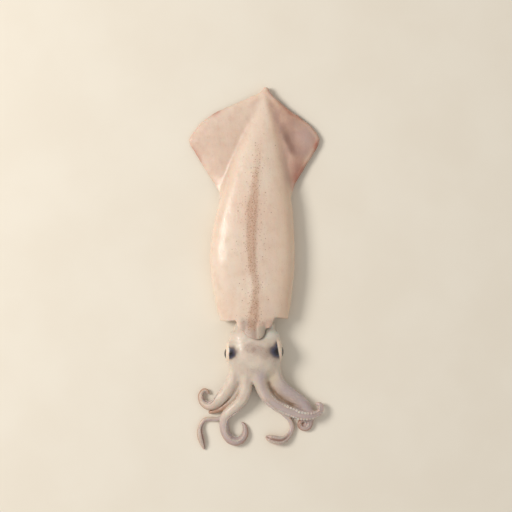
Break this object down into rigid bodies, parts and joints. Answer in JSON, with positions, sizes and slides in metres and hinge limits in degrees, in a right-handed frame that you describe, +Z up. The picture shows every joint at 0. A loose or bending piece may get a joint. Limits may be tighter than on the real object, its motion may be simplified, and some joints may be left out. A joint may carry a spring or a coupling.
{
  "type": "whole cleaned raw squid",
  "caption": "Whole cleaned raw squid lying flat: tapered mantle tube with two tail fins, head with eyes, and curling arms and tentacles, for food and kitchen scenes.",
  "frame": {"origin": "on the supporting surface under the middle of the bounding box", "axes": "+Z up, away from the surface it lies on; +Y towards the closed tip of the mantle, arms towards -Y; +X towards the fin that droops"},
  "size_m": [0.0941, 0.2529, 0.0204],
  "materials": {
    "flesh": "moist translucent raw flesh, creamy pinkish white with a thin speckled skin",
    "eye": "wet dark eye with a pale silvery rim"
  },
  "bodies": {
    "root": {"squid": "flesh", "eye_left": "eye", "eye_right": "eye"}
  },
  "joints": []
}
